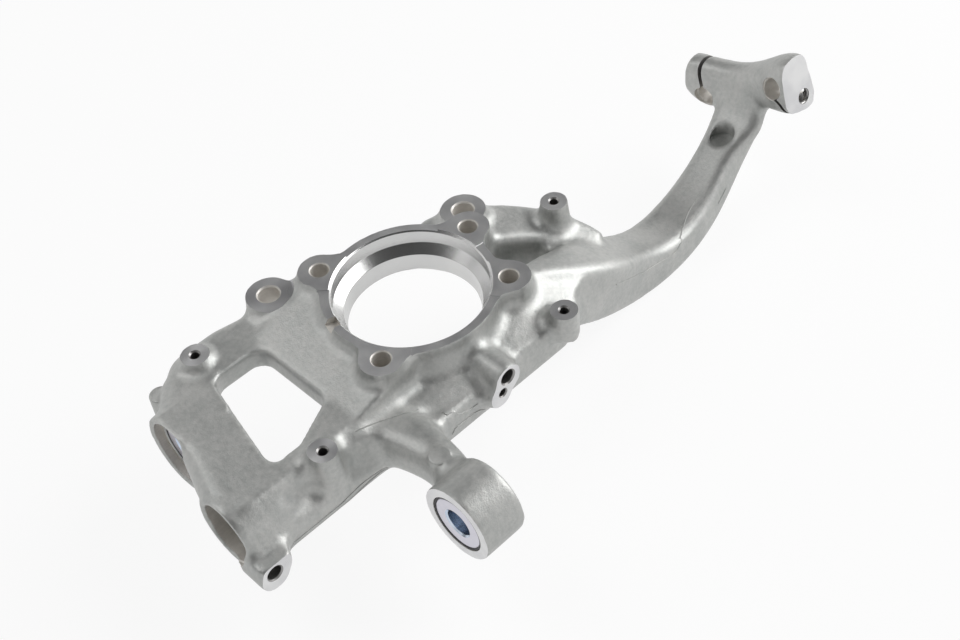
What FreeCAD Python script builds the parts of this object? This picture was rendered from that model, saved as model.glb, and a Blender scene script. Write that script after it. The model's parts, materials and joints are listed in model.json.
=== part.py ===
"""Front steering knuckle of a multi-link suspension: one aluminium casting with two pressed-in steel
taper sleeves and their rubber rings.

Frame: the origin is the hub bearing's centre on the flange face. +Z points outboard along the hub axis.
+X runs up the upright, from the lower ball joints to the T-shaped head, and -Y points to the steering arm.
All lengths are in millimetres and all angles in degrees.
"""
import FreeCAD, Part
import Sketcher
import math
import os

from FreeCAD import Placement, Rotation, Vector

SIZES = [
    # hub flange: a ring with four lobes for the bearing's bolts
    ("flange_radius", 51.0),
    ("flange_thickness", 10.0),
    ("relief_depth", 0.7),
    ("relief_margin", 17.0),
    ("lobe_circle", 56.5),
    ("lobe_radius", 13.0),
    ("lobe_blend", 11.0),
    ("lobe_bolt_hole", 5.5),
    ("post_step", 2.0),
    ("lobe_angle_top", 10.0),
    ("lobe_angle_right", -42.0),
    ("lobe_angle_left", 117.2),
    ("lobe_angle_bottom", -149.2),
    ("notch_angle", 165.0),
    ("notch_width", 8.0),
    ("notch_depth", 5.0),
    ("notch_reach", 7.0),
    # hub bore, from the face down
    ("seat_radius", 46.0),
    ("seat_chamfer", 1.5),
    ("seat_depth", 10.0),
    ("throat_radius", 40.5),
    ("throat_start", 15.0),
    ("throat_end", 21.5),
    ("rear_radius", 39.5),
    ("barrel_depth", 27.0),
    ("skirt_radius", 60.0),
    ("skirt_top", 3.0),
    # lower block that carries the two ball-joint bores
    ("block_top", 13.5),
    ("plate_depth", 14.5),
    ("nose_depth", 30.0),
    ("block_near", 46.0),
    ("block_far", 76.0),
    ("block_round", 9.0),
    ("sill_near", 56.0),
    ("sill_top", 34.0),
    ("sill_bottom", 48.0),
    ("joint_spacing", 62.0),
    ("joint_level", 35.0),
    ("sleeve_tube_radius", 25.5),
    ("plain_tube_radius", 21.7),
    ("sleeve_tube_foot", 116.0),
    ("plain_tube_foot", 140.0),
    ("tube_crown", 1.0),
    ("plain_bore_radius", 18.2),
    ("plain_bore_depth", 30.0),
    ("stud_hole", 10.5),
    ("stud_hole_end_near", 128.0),
    ("stud_hole_end_far", 113.0),
    ("plain_bore_face", 169.0),
    ("sleeve_bore_face", 148.5),
    ("sleeve_tube_end", 155.0),
    ("mouth_radius", 21.5),
    ("mouth_clearance", 30.0),
    # window through the block's web
    ("window_hub_side", 81.0),
    ("window_far", 42.0),
    ("window_near", 16.0),
    ("window_corner", 8.0),
    # caliper ears and shield bosses
    ("ear_radius", 14.0),
    ("ear_hole", 6.5),
    ("ear_level", 9.0),
    ("ear_thickness", 18.0),
    ("boss_radius", 8.4),
    ("boss_level", 9.0),
    ("boss_thread", 2.5),
    ("boss_hole_depth", 16.0),
    ("saddle_length", 92.0),
    # side rail, bracket pad for the wheel-speed sensor
    ("rail_near", 71.0),
    ("rail_top", 24.0),
    ("rail_bottom", 44.0),
    ("rib_round", 5.0),
    ("sensor_face", 78.0),
    ("sensor_radius", 9.5),
    ("sensor_bore", 4.6),
    ("sensor_bore_along", 1.6),
    ("sensor_bore_level", 19.5),
    ("sensor_bore_depth", 44.0),
    ("sensor_thread", 2.5),
    ("sensor_thread_along", 6.5),
    ("sensor_thread_level", 28.5),
    ("sensor_thread_depth", 13.0),
    # lug of the screw that crosses the plain bore's edge
    ("lug_radius", 9.4),
    ("lug_face", 65.0),
    ("lug_along", 163.7),
    ("lug_level", 46.0),
    ("lug_hole", 4.5),
    ("lug_hole_level", 43.0),
    ("lug_length", 28.0),
    # steering arm and its eye
    ("arm_round", 9.0),
    ("eye_face", 84.7),
    ("eye_length", 26.3),
    ("eye_radius", 23.0),
    ("eye_offset", 121.4),
    ("eye_level", 30.0),
    # taper sleeves and their rings
    ("sleeve_radius", 16.0),
    ("sleeve_length", 26.0),
    ("sleeve_bore", 8.2),
    ("sleeve_chamfer", 1.0),
    ("sleeve_recess", 0.6),
    ("ring_radius", 17.5),
    ("ring_depth", 4.0),
    # neck and head
    ("neck_round", 7.0),
    ("head_round", 8.0),
    ("head_end_tilt", 14.0),
    ("head_left_end", 24.0),
    ("dimple_radius", 8.0),
    ("dimple_level", 48.5),
    ("pin_bore", 7.0),
    ("pinch_hole", 4.6),
    ("pinch_tilt", 13.4),
    ("slot_width", 2.6),
    ("ejector_radius", 6.4),
    # how far a cutter reaches through and past what it cuts
    ("through", 90.0),
    ("overshoot", 1.0),
]

doc = FreeCAD.newDocument("steering_knuckle")
sheet = doc.addObject("Spreadsheet::Sheet", "sizes")
for row, (alias, value) in enumerate(SIZES, start=1):
    sheet.set(f"A{row}", alias.replace("_", " "))
    sheet.set(f"B{row}", str(value))
    sheet.setAlias(f"B{row}", alias)
doc.recompute()

X_AXIS, Y_AXIS, Z_AXIS = Vector(1, 0, 0), Vector(0, 1, 0), Vector(0, 0, 1)


def size(alias):
    """The value of one named cell of the sheet."""
    return float(sheet.get(alias))


# ---------------------------------------------------------------- helpers
def feature(name, shape):
    """A document object that carries a shape made with Part's own functions."""
    item = doc.addObject("Part::Feature", name)
    item.Shape = shape
    return item


def rounded_wire(corners, radius, flats=False):
    """A closed planar outline with every corner rounded; radius is one number or one for each corner.

    With flats, two straight edges stand for each round: a loft through such sections stays light.
    """
    radii = radius if isinstance(radius, list) else [radius] * len(corners)
    rounds = []
    for index, corner in enumerate(corners):
        to_last = (corners[index - 1] - corner).normalize()
        to_next = (corners[(index + 1) % len(corners)] - corner).normalize()
        half = to_last.getAngle(to_next) / 2
        bisector = (to_last + to_next).normalize()
        reach = radii[index] / math.tan(half)
        middle = corner + bisector * (radii[index] / math.sin(half) - radii[index])
        rounds.append((corner + to_last * reach, middle, corner + to_next * reach))
    if flats:
        points = [point for points in rounds for point in points]
        return Part.makePolygon(points + points[:1])
    edges = []
    for index, (start, middle, end) in enumerate(rounds):
        edges.append(Part.Arc(start, middle, end).toShape())
        edges.append(Part.makeLine(end, rounds[(index + 1) % len(rounds)][0]))
    return Part.Wire(edges)


def prism(corners, radius, bottom, top, edge_round=0.0):
    """A plan outline (x, y pairs) raised from bottom to top, its upper rim rounded."""
    wire = rounded_wire([Vector(x, y, bottom) for x, y in corners], radius)
    solid = Part.Face(wire).extrude(Vector(0, 0, top - bottom))
    if edge_round:
        rim = [edge for edge in solid.Edges if abs(edge.BoundBox.ZMin - top) < 1e-6]
        solid = solid.makeFillet(edge_round, rim)
    return solid


def cylinder(name, radius, length, base, axis=Z_AXIS):
    """A Part::Cylinder whose radius, length and foot point are bound to the sheet by expressions."""
    item = doc.addObject("Part::Cylinder", name)
    item.Placement = Placement(Vector(), Rotation(Z_AXIS, axis))
    item.setExpression("Radius", radius)
    item.setExpression("Height", length)
    for letter, value in zip("xyz", base):
        item.setExpression("Placement.Base." + letter, value)
    return item


def cone(name, foot_radius, tip_radius, length, base, axis=Z_AXIS):
    """A Part::Cone bound to the sheet in the same way."""
    item = doc.addObject("Part::Cone", name)
    item.Placement = Placement(Vector(), Rotation(Z_AXIS, axis))
    item.setExpression("Radius1", foot_radius)
    item.setExpression("Radius2", tip_radius)
    item.setExpression("Height", length)
    for letter, value in zip("xyz", base):
        item.setExpression("Placement.Base." + letter, value)
    return item


def around_hub(angle):
    """Expressions for the x and y of a lobe that stands at the named angle."""
    return [f"sizes.lobe_circle * {turn}(sizes.{angle} * 1deg)" for turn in ("cos", "sin")]


def bar(stations, corner):
    """A loft through rounded sections.

    A station is centre x, y, z, width, height, heading, pitch, roll and lean. The lean draws the upper
    near corner inwards, so that the near side slopes.
    """
    wires = []
    for x, y, z, width, height, heading, pitch, roll, lean in stations:
        turn = Rotation(Z_AXIS, heading) * Rotation(Y_AXIS, -pitch) * Rotation(X_AXIS, -roll)
        square = [Vector(0, side * width / 2 + shift, level * height / 2)
                  for side, level, shift in ((-1, -1, 0), (1, -1, 0), (1, 1, 0), (-1, 1, lean))]
        corners = [Vector(x, y, z) + turn.multVec(point) for point in square]
        wires.append(rounded_wire(corners, corner, True))
    return Part.makeLoft(wires, True)


def block(width, length, height, centre, turn):
    """A box about its centre, turned; used for slots and end planes."""
    box = Part.makeBox(width, length, height, Vector(-width / 2, -length / 2, -height / 2))
    box.Placement = Placement(centre, turn).multiply(box.Placement)
    return box


def fused(name, items):
    """One Part::MultiFuse of many objects."""
    item = doc.addObject("Part::MultiFuse", name)
    item.Shapes = items
    return item


# ---------------------------------------------------------------- hub
LOBES = ["lobe_angle_top", "lobe_angle_right", "lobe_angle_left", "lobe_angle_bottom"]


def flange_plate():
    """The four-lobed plate: ring and lobes joined, with a concave blend in each corner between them."""
    depth = Vector(0, 0, -size("flange_thickness"))
    plate = Part.Face(Part.Wire(Part.makeCircle(size("flange_radius")))).extrude(depth)
    for angle in LOBES:
        turn = math.radians(size(angle))
        centre = Vector(math.cos(turn), math.sin(turn), 0) * size("lobe_circle")
        lobe = Part.Face(Part.Wire(Part.makeCircle(size("lobe_radius"), centre)))
        plate = plate.fuse(lobe.extrude(depth))
    plate = plate.removeSplitter()
    inner = [edge for edge in plate.Edges if len(edge.Vertexes) == 2 and edge.BoundBox.ZLength > 1
             and abs(edge.Vertexes[0].Point.sub(edge.Vertexes[1].Point).z) > 1]
    return plate.makeFillet(size("lobe_blend"), inner)


def ring_relief(start, sweep):
    """The shallow step of the flange face between two lobes, as a sector about the hub axis."""
    depth = size("relief_depth")
    foot = Vector(0, 0, -depth)
    sector = Part.makeCylinder(size("lobe_circle"), 2 * depth, foot, Z_AXIS, sweep)
    sector.rotate(Vector(), Z_AXIS, start)
    return sector


def hub_bore():
    """The stepped bore: chamfer, bearing seat, shoulder cone, throat and rear opening."""
    mouth = size("seat_radius") + size("seat_chamfer")
    steps = [(0, 1), (mouth, 1), (mouth, 0),
             (size("seat_radius"), -size("seat_chamfer")), (size("seat_radius"), -size("seat_depth")),
             (size("throat_radius"), -size("throat_start")), (size("throat_radius"), -size("throat_end")),
             (size("rear_radius"), -size("barrel_depth") + 0.5), (size("rear_radius"), -70), (0, -70)]
    outline = Part.makePolygon([Vector(radius, 0, z) for radius, z in steps + steps[:1]])
    return Part.Face(outline).revolve(Vector(), Z_AXIS, 360)


flange = feature("flange", flange_plate())
barrel = cylinder("barrel", "sizes.flange_radius + 1", "sizes.barrel_depth",
                  ("0", "0", "-sizes.barrel_depth"))
skirt = cone("skirt", "sizes.skirt_radius", "sizes.flange_radius - 1",
             "sizes.barrel_depth - sizes.skirt_top",
             ("0", "0", "-sizes.barrel_depth"))
posts = [cylinder("post_" + angle.split("_")[-1], "sizes.lobe_radius - sizes.post_step",
                  "sizes.barrel_depth", (*around_hub(angle), "-sizes.barrel_depth"))
         for angle in LOBES]

# ---------------------------------------------------------------- lower block
top = -size("block_top")
near, far = -size("block_near"), size("block_far")
upper_block = feature("upper_block", prism(
    [(-38, near), (-38, 56), (-62, far - 6), (-90, far), (-128, far), (-140, 40), (-140, near)],
    [6, 10, 10, 12, 20, 10, 10], top - size("plate_depth"), top, size("block_round")))
nose = feature("nose", prism(
    [(-116, near), (-116, far - 6), (-134, far - 8), (-153, 44), (-160, 8), (-169, -20), (-169, near)],
    [5, 8, 18, 14, 30, 20, 14], top - size("nose_depth"), top, size("block_round")))
sill = feature("sill", prism(
    [(-62, -size("sill_near")), (-62, -20), (-150, -20), (-171, -28), (-171, -size("sill_near"))],
    [5, 5, 5, 5, 8], -size("sill_bottom"), -size("sill_top"), 4))


def joint_tube(side, radius, end, foot):
    """A joint's tube on the X axis; the block's skin cuts its top off level."""
    base = Vector(-end, side * size("joint_spacing") / 2, -size("joint_level"))
    tube = Part.makeCylinder(radius, end - foot, base, X_AXIS)
    reach = 2 * radius
    crown = Vector(-end, base.y - reach, top + size("tube_crown"))
    return tube.cut(Part.makeBox(end - foot, 2 * reach, reach, crown))


tubes = [
    feature("sleeve_tube", joint_tube(1, size("sleeve_tube_radius"), size("sleeve_tube_end"),
                                      size("sleeve_tube_foot"))),
    feature("plain_tube", joint_tube(-1, size("plain_tube_radius"), size("plain_bore_face"),
                                     size("plain_tube_foot"))),
]

# ---------------------------------------------------------------- middle body, rail and ribs
rail = feature("rail", prism(
    [(-78, -50), (-70, -size("rail_near")), (52, -size("rail_near")), (72, -64), (72, -24), (-60, -10)],
    [4, 10, 20, 8, 8, 8], -size("rail_bottom"), -size("rail_top"), 4))
far_rib = feature("far_rib", bar([
    (44, 34, -22, 32, 16, -20, 0, 0, 0),
    (84, 12, -28, 35, 22, -34, -4, 0, 0),
    (109, -11, -40, 27, 28, -66, -20, 0, 0),
    (117, -26, -48, 24, 32, -80, -26, 0, 0)], size("rib_round")))
rail_ridge = feature("rail_ridge", bar([
    (-58, -45, -28, 15, 16, -16, 0, 0, 0),
    (-5, -60, -28, 15, 16, -12, 0, 0, 0),
    (46, -64, -28, 15, 16, -6, 0, 0, 0)], size("rib_round")))
pocket_floor = feature("pocket_floor", prism([(62, -40), (62, 2), (112, -12), (112, -40)], 4, -43, -37))
saddle_profile = [Vector(-38, -42, -3), Vector(-84, -42, top - 1), Vector(-84, -42, -28),
                  Vector(-38, -42, -28)]
saddle_side = Part.Face(Part.makePolygon(saddle_profile + saddle_profile[:1]))
saddle = feature("saddle", saddle_side.extrude(Y_AXIS * size("saddle_length")))

# ---------------------------------------------------------------- ears and bosses
EARS = [("ear_left", -53.3, 66.2), ("ear_right", 70.2, 30.2)]
ears = [cylinder(name, "sizes.ear_radius", "sizes.ear_thickness",
                 (str(x), str(y), "-sizes.ear_level - sizes.ear_thickness"))
        for name, x, y in EARS]
ear_arms = [
    feature("ear_arm_left", prism([(-58, 74), (-28, 42), (-56, 20), (-75, 60)], 6, -28, -12, 4)),
    feature("ear_arm_right", prism([(34, 24), (60, 42), (80, 26), (52, -2)], 6, -28, -14, 4)),
]
BOSSES = [
    # name, x, y, height, spread of the foot
    ("boss_a", -111.4, 61.3, 10, 1.15),
    ("boss_b", -108.0, -46.7, 24, 1.2),
    ("boss_c", 48.7, -73.7, 20, 1.0),
    ("boss_d", 110.7, -7.0, 26, 1.25),
]
bosses = [cone(name, f"sizes.boss_radius * {spread}", "sizes.boss_radius", str(height),
               (str(x), str(y), f"-sizes.boss_level - {height}"))
          for name, x, y, height, spread in BOSSES]
EJECTORS = [
    # name, x, y, level of the top, height: pads left by the die's pins
    ("corner_ejector", -135.9, 68.7, -27, 22),
    ("arm_ejector", -65.6, -91.1, -16, 12),
]
ejectors = [cylinder(name, "sizes.ejector_radius", str(height), (str(x), str(y), str(level - height)))
            for name, x, y, level, height in EJECTORS]

# ---------------------------------------------------------------- sensor boss and lug
sensor_boss = cylinder("sensor_boss", "sizes.sensor_radius",
                       "sizes.sensor_face - sizes.flange_radius + 3",
                       ("-sizes.sensor_bore_along", "-sizes.sensor_face",
                        "-sizes.sensor_bore_level - 1.5"), Y_AXIS)
sensor_toe = cylinder("sensor_toe", "sizes.sensor_radius - 1.5",
                      "sizes.sensor_face - sizes.flange_radius + 3",
                      ("-sizes.sensor_thread_along - 1.5", "-sizes.sensor_face",
                       "-sizes.sensor_thread_level - 1.5"), Y_AXIS)
lug = cylinder("lug", "sizes.lug_radius", "sizes.lug_length",
               ("-sizes.lug_along", "-sizes.lug_face", "-sizes.lug_level"), Y_AXIS)
lug_root = feature("lug_root", prism(
    [(-172, -size("lug_face")), (-151, -size("lug_face")), (-146, -40), (-172, -40)], 3, -46, -36))

# ---------------------------------------------------------------- steering arm
def arm_loft():
    """The arm runs along -Y; each section is a rounded rectangle: y, centre x and z, width, height."""
    stations = [(-40, -64, -34, 38, 30), (-66, -62.5, -32, 28, 27), (-92, -63, -30, 22, 27),
                (-112, -70.5, -30, 25, 30)]
    wires = []
    for y, x, z, width, height in stations:
        square = [Vector(x + sx * width / 2, y, z + sz * height / 2)
                  for sx, sz in ((-1, -1), (1, -1), (1, 1), (-1, 1))]
        wires.append(rounded_wire(square, size("arm_round"), True))
    return Part.makeLoft(wires, True)


arm = feature("steering_arm", arm_loft())
eye = cylinder("eye", "sizes.eye_radius", "sizes.eye_length",
               ("-sizes.eye_face", "-sizes.eye_offset", "-sizes.eye_level"), X_AXIS)

# ---------------------------------------------------------------- neck and head
NECK = [
    # x, y, z of the centre, width, height, heading, pitch, roll, lean
    (36, -50, -29, 40, 30, 0, -6, 0, 14),
    (70, -46, -33, 42, 38, 0, -17, 0, 19),
    (104, -38.5, -52, 36, 44, 0, -36, -4, 0),
    (142, -33, -74.5, 33, 39.5, 0, -24, -3, 0),
    (180, -31, -81.5, 36, 27.5, 0, 2, -2, 0),
    (222, -27.6, -72, 33, 25, 0, 20, 0, 0),
    (259, -22, -50, 32, 18.5, 0, 38, 3, 0),
    (286, -16, -21, 26, 17, 0, 62, 8, 0),
]
neck = feature("neck", bar(NECK, size("neck_round")))
HEAD = [
    # y, front x, back x low and high, z of the underside in front and behind, z of the top
    (30, 271, 290, 288, -33, -34, -17),
    (8, 272, 293, 291, -48, -48, -13),
    (-20, 275, 297, 293, -36, -38, -4),
    (-46, 269, 297, 291, -21, -28, 16),
    (-70, 268, 299, 291, -12, -25, 13),
]


def head_loft():
    """The cross bar of the T, through sections that stand square to Y."""
    wires = []
    for y, front, back_low, back_high, front_low, rear_low, high in HEAD:
        corners = [Vector(front, y, front_low), Vector(back_low, y, rear_low), Vector(back_high, y, high),
                   Vector(front, y, high)]
        wires.append(rounded_wire(corners, size("head_round"), True))
    return Part.makeLoft(wires, True)


head = feature("head", head_loft())

cast_items = [flange, barrel, skirt, upper_block, sill, rail, rail_ridge, far_rib, pocket_floor,
              saddle, sensor_boss, sensor_toe, lug, lug_root, arm, eye, neck, head, nose]
cast_body = fused("cast_body", cast_items + posts + tubes + ears + ear_arms + bosses + ejectors)

# ---------------------------------------------------------------- machining
SLEEVE_PLACES = {
    "steering_arm": ("-sizes.eye_face", "-sizes.eye_offset", "-sizes.eye_level"),
    "lower_joint": ("-sizes.sleeve_bore_face", "sizes.joint_spacing / 2", "-sizes.joint_level"),
}
cuts = [feature("hub_bore", hub_bore())]
angles = sorted(size(angle) for angle in LOBES)
for index, angle in enumerate(angles):
    sweep = (angles[(index + 1) % len(angles)] - angle) % 360 - 2 * size("relief_margin")
    cuts.append(feature(f"relief_{index}", ring_relief(angle + size("relief_margin"), sweep)))
notch = Part.makeBox(size("notch_reach"), size("notch_width"), size("notch_depth") + size("overshoot"),
                     Vector(size("seat_radius"), -size("notch_width") / 2, -size("notch_depth")))
notch.rotate(Vector(), Z_AXIS, size("notch_angle"))
cuts.append(feature("flange_notch", notch))
for angle in LOBES:
    x, y = around_hub(angle)
    cuts.append(cylinder("bolt_hole_" + angle.split("_")[-1], "sizes.lobe_bolt_hole", "sizes.through",
                         (x, y, "sizes.overshoot - sizes.through")))
for name, x, y in EARS:
    cuts.append(cylinder(name + "_hole", "sizes.ear_hole", "sizes.through",
                         (str(x), str(y), "sizes.overshoot - sizes.through")))
for name, x, y, height, spread in BOSSES:
    cuts.append(cylinder(name + "_thread", "sizes.boss_thread", "sizes.boss_hole_depth + sizes.overshoot",
                         (str(x), str(y), "-sizes.boss_level - sizes.boss_hole_depth")))
window_corners = [(-size("window_hub_side"), size("window_far")),
                  (-size("window_hub_side"), -size("window_near")),
                  (-133, -40), (-115, size("window_far") + 1)]
cuts.append(feature("window", prism(window_corners, size("window_corner"), -size("through"), 0)))
cuts.append(cylinder("plain_bore", "sizes.plain_bore_radius",
                     "sizes.plain_bore_depth + sizes.mouth_clearance",
                     ("-sizes.plain_bore_face - sizes.mouth_clearance", "-sizes.joint_spacing / 2",
                      "-sizes.joint_level"), X_AXIS))
for side, sign in (("near", "-"), ("far", "")):
    cuts.append(cylinder("stud_hole_" + side, "sizes.stud_hole",
                         "sizes.sleeve_bore_face - sizes.stud_hole_end_" + side,
                         ("-sizes.sleeve_bore_face", sign + "sizes.joint_spacing / 2", "-sizes.joint_level"),
                         X_AXIS))
cuts.append(cylinder("sleeve_mouth", "sizes.mouth_radius", "sizes.mouth_clearance",
                     ("-sizes.sleeve_bore_face - sizes.mouth_clearance", "sizes.joint_spacing / 2",
                      "-sizes.joint_level"), X_AXIS))
for place, depth in (("lower_joint", "sizes.sleeve_length + sizes.overshoot"),
                     ("steering_arm", "sizes.eye_length + 2 * sizes.overshoot")):
    x, y, z = SLEEVE_PLACES[place]
    foot = (x + " - sizes.overshoot", y, z)
    cuts.append(cylinder(place + "_sleeve_bore", "sizes.sleeve_radius", depth, foot, X_AXIS))
    cuts.append(cylinder(place + "_ring_seat", "sizes.ring_radius",
                         "sizes.ring_depth + sizes.overshoot", foot, X_AXIS))
cuts.append(cylinder("sensor_bore", "sizes.sensor_bore", "sizes.sensor_bore_depth + sizes.overshoot",
                     ("-sizes.sensor_bore_along", "-sizes.sensor_face - sizes.overshoot",
                      "-sizes.sensor_bore_level"), Y_AXIS))
cuts.append(cylinder("sensor_thread", "sizes.sensor_thread", "sizes.sensor_thread_depth + sizes.overshoot",
                     ("-sizes.sensor_thread_along", "-sizes.sensor_face - sizes.overshoot",
                      "-sizes.sensor_thread_level"), Y_AXIS))
cuts.append(cylinder("lug_hole", "sizes.lug_hole", "sizes.lug_length + sizes.overshoot",
                     ("-sizes.lug_along", "-sizes.lug_face - sizes.overshoot",
                      "-sizes.lug_hole_level"), Y_AXIS))


# the pins of the two upper ball joints sit in split bores that one long bolt pinches
PIN_BORES = [
    # name, point on the front face, direction the pin leaves, direction of the slot from the bore
    ("right", Vector(268, -48.5, -0.5), Vector(-0.94, 0.12, 0.30), Vector(0, -0.62, -0.78)),
    ("left", Vector(274, 9, -38), Vector(-0.99, 0, -0.1), Vector(0, 0.25, 1)),
]
for name, mouth, leaves, open_side in PIN_BORES:
    leaves.normalize()
    start = mouth + leaves * 20
    cuts.append(feature(name + "_pin_bore", Part.makeCylinder(size("pin_bore"), 70, start, leaves * -1)))
    across = leaves.cross(open_side).normalize()
    outward = across.cross(leaves).normalize()
    turn = Rotation(leaves, across, outward * -1, "XYZ")
    middle = mouth - leaves * 12 + outward * math.copysign(20, outward.dot(open_side))
    cuts.append(feature(name + "_slot", block(60, size("slot_width"), 40, middle, turn)))
pinch_axis = Rotation(X_AXIS, -size("pinch_tilt")).multVec(Y_AXIS)
pinch_start = Vector(284.5, -60.5, -10.4) - pinch_axis * 15
cuts.append(feature("pinch_hole", Part.makeCylinder(size("pinch_hole"), 130, pinch_start, pinch_axis)))
right_end = Vector(282, -61, -10)
end_turn = Rotation(X_AXIS, -size("head_end_tilt"))
right_middle = right_end - end_turn.multVec(Y_AXIS) * 10
left_middle = Vector(282, size("head_left_end") + 10, -30)
cuts.append(feature("right_end_plane", block(60, 20, 90, right_middle, end_turn)))
cuts.append(feature("left_end_plane", block(60, 20, 90, left_middle, Rotation())))
cuts.append(cylinder("dimple", "sizes.dimple_radius", "40", ("254", "-21", "-sizes.dimple_level")))

machined = doc.addObject("Part::Cut", "knuckle_casting")
machined.Base = cast_body
machined.Tool = fused("machining", cuts)
machined.Label = "knuckle_casting"


# ---------------------------------------------------------------- sleeves and rings
def turned_body(label, profile, base):
    """A turned piece on the X axis: a sketch of its half section, every corner bound to the sheet."""
    body = doc.addObject("PartDesign::Body", label)
    body.Label = label
    sketch = body.newObject("Sketcher::SketchObject", label + "_section")
    plane = next(item for item in body.Origin.OriginFeatures if item.Role == "XY_Plane")
    sketch.AttachmentSupport = [(plane, "")]
    sketch.MapMode = "FlatFace"
    start = [Vector(index, index * index + 1, 0) for index in range(len(profile))]
    for index in range(len(profile)):
        sketch.addGeometry(Part.LineSegment(start[index], start[(index + 1) % len(profile)]))
    for index in range(len(profile)):
        sketch.addConstraint(Sketcher.Constraint("Coincident", index, 2, (index + 1) % len(profile), 1))
    for index, (along, radius) in enumerate(profile):
        for kind, letter, text in (("DistanceX", "x", along), ("DistanceY", "y", radius)):
            number = sketch.addConstraint(Sketcher.Constraint(kind, -1, 1, index, 1, float(index + 1)))
            sketch.renameConstraint(number, f"{letter}{index}")
            sketch.setExpression(f"Constraints.{letter}{index}", text)
    turn = body.newObject("PartDesign::Revolution", label + "_turning")
    turn.Profile = sketch
    turn.ReferenceAxis = (sketch, ["H_Axis"])
    turn.Angle = 360
    body.Tip = turn
    for letter, text in zip("xyz", base):
        body.setExpression("Placement.Base." + letter, text)
    return body


pieces = [machined]
for place, base in SLEEVE_PLACES.items():
    pieces.append(turned_body(place + "_sleeve", [
        ("sizes.sleeve_recess + sizes.sleeve_chamfer", "sizes.sleeve_bore"),
        ("sizes.sleeve_recess", "sizes.sleeve_bore + sizes.sleeve_chamfer"),
        ("sizes.sleeve_recess", "sizes.sleeve_radius"), ("sizes.sleeve_length", "sizes.sleeve_radius"),
        ("sizes.sleeve_length", "sizes.sleeve_bore")], base))
    pieces.append(turned_body(place + "_seal_ring", [
        ("0.3", "sizes.sleeve_radius"), ("0.3", "sizes.ring_radius"),
        ("sizes.ring_depth", "sizes.ring_radius"), ("sizes.ring_depth", "sizes.sleeve_radius")], base))
doc.recompute()

# ---------------------------------------------------------------- check and write
for item in doc.Objects:
    if {"Invalid", "Error"} & set(item.State):
        raise RuntimeError(f"{item.Name} failed: {item.State}")
os.makedirs("parts", exist_ok=True)
for piece in pieces:
    if piece.Shape.isNull() or not piece.Shape.isValid():
        raise RuntimeError(f"{piece.Label} has no valid shape")
    piece.Shape.exportStep(f"parts/{piece.Label}.step")
    print(piece.Label, len(piece.Shape.Solids), "solid", round(piece.Shape.Volume / 1000, 1), "cm3")
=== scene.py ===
# %% [markdown]
# # Steering knuckle
# A front steering knuckle is one aluminium casting. The foundry leaves a grey, slightly grainy skin with soft
# corners, and a machine shop then mills the faces and bores where other parts bolt on. The lesson follows the
# same order: rough casting first, cutting tools second, finish last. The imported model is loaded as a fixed
# frame, so that each piece goes where the drawing says.

# %% Load the frame
import bpy
import bmesh
import json
import math
from collections import namedtuple
from mathutils import Matrix, Vector
from mathutils.bvhtree import BVHTree


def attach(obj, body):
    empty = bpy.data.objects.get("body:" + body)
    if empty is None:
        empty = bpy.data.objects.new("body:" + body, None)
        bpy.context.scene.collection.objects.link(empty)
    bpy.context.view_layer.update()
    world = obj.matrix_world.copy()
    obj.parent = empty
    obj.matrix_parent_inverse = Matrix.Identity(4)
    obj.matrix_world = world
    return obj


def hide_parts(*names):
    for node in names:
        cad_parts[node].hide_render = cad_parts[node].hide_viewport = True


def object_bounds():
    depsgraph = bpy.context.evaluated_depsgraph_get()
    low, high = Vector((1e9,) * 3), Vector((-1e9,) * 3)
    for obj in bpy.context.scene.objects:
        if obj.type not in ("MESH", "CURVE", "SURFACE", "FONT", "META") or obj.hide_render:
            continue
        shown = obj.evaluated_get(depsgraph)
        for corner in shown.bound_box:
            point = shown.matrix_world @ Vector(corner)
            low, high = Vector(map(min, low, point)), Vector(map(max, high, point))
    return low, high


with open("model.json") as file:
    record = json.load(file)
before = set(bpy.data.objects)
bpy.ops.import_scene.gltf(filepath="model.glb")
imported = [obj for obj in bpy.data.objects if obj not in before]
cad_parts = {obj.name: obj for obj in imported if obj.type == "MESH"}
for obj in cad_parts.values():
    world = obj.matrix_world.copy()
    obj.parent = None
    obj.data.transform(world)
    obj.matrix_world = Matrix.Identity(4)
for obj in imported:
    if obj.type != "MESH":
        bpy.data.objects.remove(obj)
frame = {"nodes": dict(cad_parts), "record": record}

MM = 0.001
cad_low, cad_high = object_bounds()
mounts = {mount["name"]: mount for mount in frame["record"]["mounts"]}


def in_mm(*lengths):
    """Lengths in metres as rounded millimetres, for printing."""
    return [round(length / MM, 1) for length in lengths]


print("nodes:", sorted(frame["nodes"]))
print("box in mm:", in_mm(*cad_low, *cad_high))

# %% [markdown]
# ## Camera
# The knuckle is seen from above and from its near side, with the long neck running up to the right. The camera
# is turned a little about its own axis, as one does to fit a long part into a wide picture. Three directions at
# right angles make its rotation, which is easier to follow here than three angles.

# %% Camera
CAMERA_PLACE = Vector((-0.3531, -0.4943, 0.6015))
CAMERA_RIGHT = Vector((0.70847, -0.69960, -0.09290))
CAMERA_UP = Vector((0.55667, 0.47304, 0.68289))
LENS_MM = 56.25
SENSOR_MM = 36.0

camera_data = bpy.data.cameras.new("camera")
camera_data.lens = LENS_MM
camera_data.sensor_width = SENSOR_MM
camera_data.clip_start = 0.01
camera = bpy.data.objects.new("camera", camera_data)
bpy.context.scene.collection.objects.link(camera)
camera_turn = Matrix((CAMERA_RIGHT, CAMERA_UP, CAMERA_RIGHT.cross(CAMERA_UP))).transposed()
camera.matrix_world = Matrix.Translation(CAMERA_PLACE) @ camera_turn.to_4x4()
bpy.context.scene.camera = camera
print("camera stands", round(CAMERA_PLACE.length, 3), "m from the hub")

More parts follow.
